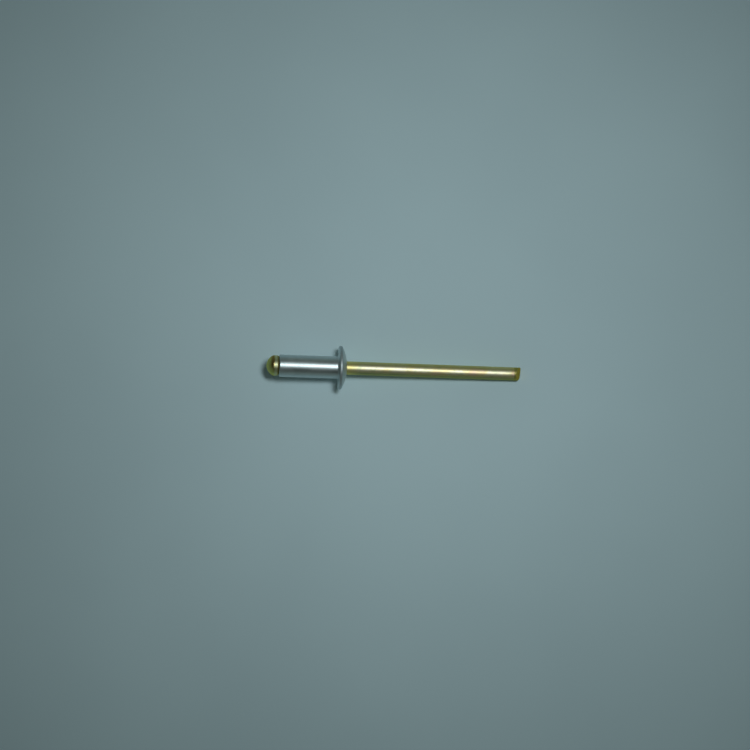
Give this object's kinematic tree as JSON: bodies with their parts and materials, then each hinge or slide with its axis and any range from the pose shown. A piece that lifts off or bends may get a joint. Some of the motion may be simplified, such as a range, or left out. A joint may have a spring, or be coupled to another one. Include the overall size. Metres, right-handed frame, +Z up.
{
  "type": "blind rivet",
  "caption": "Open-end blind rivet, unset: a domed flange on an aluminium tube, with a plated steel mandrel through it that a riveting tool pulls to spread the blind end.",
  "frame": {"origin": "on the rivet's axis, at the middle of the flange's seat, the face that meets the sheet", "axes": "+Z up from the surface that the rivet lies on, +X toward the mandrel's tip, which the axis dips to because the rivet rests on its flange's rim and the mandrel's tip"},
  "size_m": [0.0463, 0.0078, 0.0079],
  "materials": {
    "aluminium_body": "bright drawn aluminium, lightly scuffed",
    "plated_mandrel": "yellow passivated zinc on drawn steel wire"
  },
  "bodies": {
    "root": {"rivet_body": "aluminium_body", "mandrel": "plated_mandrel"}
  },
  "joints": []
}
